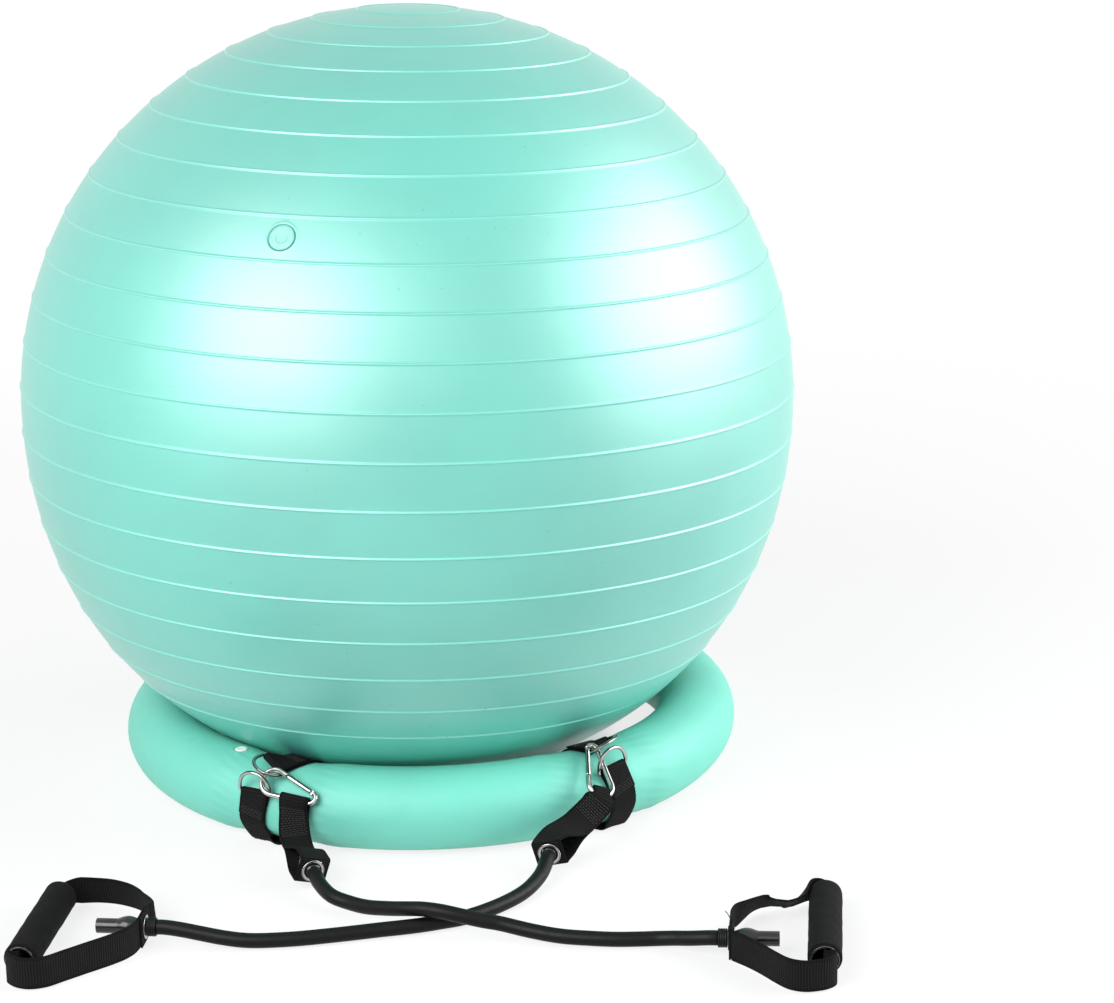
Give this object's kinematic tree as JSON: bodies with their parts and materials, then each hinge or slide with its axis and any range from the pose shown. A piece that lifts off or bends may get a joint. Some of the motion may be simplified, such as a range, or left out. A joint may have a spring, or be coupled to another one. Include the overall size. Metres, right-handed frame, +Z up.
{
  "type": "balance ball chair",
  "caption": "Ribbed inflated ball seated in an inflated ring base, with webbing tethers and elastic pull bands clipped to the ring.",
  "frame": {"origin": "middle of the ring base on the floor, under the foot of the ball", "axes": "+Z up, +X to the right seen from the side where the bands lie, +Y away from it"},
  "size_m": [0.6612, 0.8477, 0.6485],
  "materials": {
    "ball_vinyl": "satin, moulded with fine ribs",
    "ring_vinyl": "matte, finely embossed",
    "plug_vinyl": "matte",
    "webbing": "woven, cross-ribbed",
    "nickel": "polished",
    "latex": "matte",
    "sleeve_rubber": "ribbed",
    "core_plastic": "glossy",
    "grip_foam": "matte foam"
  },
  "bodies": {
    "base": {"ring_skin": "ring_vinyl", "left_tether_webbing": "webbing", "left_front_dring": "nickel", "left_rear_dring": "nickel", "left_hook_body": "nickel", "left_hook_pin": "nickel", "left_band_anchor_webbing": "webbing", "left_band_anchor_grommet": "nickel", "left_band_anchor_tube_end": "latex", "left_band_anchor_bead": "core_plastic", "left_band_tube": "latex", "right_tether_webbing": "webbing", "right_front_dring": "nickel", "right_rear_dring": "nickel", "right_hook_body": "nickel", "right_hook_pin": "nickel", "right_band_anchor_webbing": "webbing", "right_band_anchor_grommet": "nickel", "right_band_anchor_tube_end": "latex", "right_band_anchor_bead": "core_plastic", "right_band_tube": "latex"},
    "ball": {"ball_skin": "ball_vinyl"},
    "ball_plug": {"ball_plug": "plug_vinyl"},
    "ring_plug": {"ring_plug": "plug_vinyl"},
    "left_gate": {"left_hook_gate": "nickel"},
    "left_handle": {"left_band_handle_webbing": "webbing", "left_band_handle_grommet": "nickel", "left_band_handle_tube_end": "latex", "left_band_handle_bead": "core_plastic", "left_band_handle_sleeve": "sleeve_rubber"},
    "left_grip": {"left_band_grip_core": "core_plastic", "left_band_grip_foam": "grip_foam"},
    "right_gate": {"right_hook_gate": "nickel"},
    "right_handle": {"right_band_handle_webbing": "webbing", "right_band_handle_grommet": "nickel", "right_band_handle_tube_end": "latex", "right_band_handle_bead": "core_plastic", "right_band_handle_sleeve": "sleeve_rubber"},
    "right_grip": {"right_band_grip_core": "core_plastic", "right_band_grip_foam": "grip_foam"}
  },
  "joints": [
    {"name": "ball_lift", "type": "slide", "parent": "base", "child": "ball", "axis": [0, 0, 1], "range_m": [0, 0.45]},
    {"name": "ball_plug_pull", "type": "slide", "parent": "ball", "child": "ball_plug", "axis": [-0.2525, -0.7772, 0.5764], "range_m": [0, 0.025]},
    {"name": "ring_plug_pull", "type": "slide", "parent": "base", "child": "ring_plug", "axis": [0, 0, 1], "range_m": [0, 0.0025]},
    {"name": "left_gate_swing", "type": "hinge", "parent": "base", "child": "left_gate", "pos_m": [-0.08962, -0.245, 0.05525], "axis": [-0.2579, -0.7721, 0.5808], "range_deg": [0, 20], "stiffness_Nm_per_rad": 0.05},
    {"name": "right_gate_swing", "type": "hinge", "parent": "base", "child": "right_gate", "pos_m": [0.1335, -0.20907, 0.07123], "axis": [0.3951, -0.4881, 0.7782], "range_deg": [0, 20], "stiffness_Nm_per_rad": 0.05},
    {"name": "left_handle_pull", "type": "slide", "parent": "base", "child": "left_handle", "axis": [1, 0, 0], "range_m": [0, 0.3], "deforming": ["left_band_tube"]},
    {"name": "right_handle_pull", "type": "slide", "parent": "base", "child": "right_handle", "axis": [-1, 0, 0], "range_m": [0, 0.3], "deforming": ["right_band_tube"]},
    {"name": "left_grip_spin", "type": "hinge", "parent": "left_handle", "child": "left_grip", "pos_m": [0.30799, -0.43802, 0.01335], "axis": [0.0854, 0.9963, 0], "continuous": true},
    {"name": "right_grip_spin", "type": "hinge", "parent": "right_handle", "child": "right_grip", "pos_m": [-0.28498, -0.411, 0.01335], "axis": [0.1149, 0.9934, 0], "continuous": true}
  ]
}
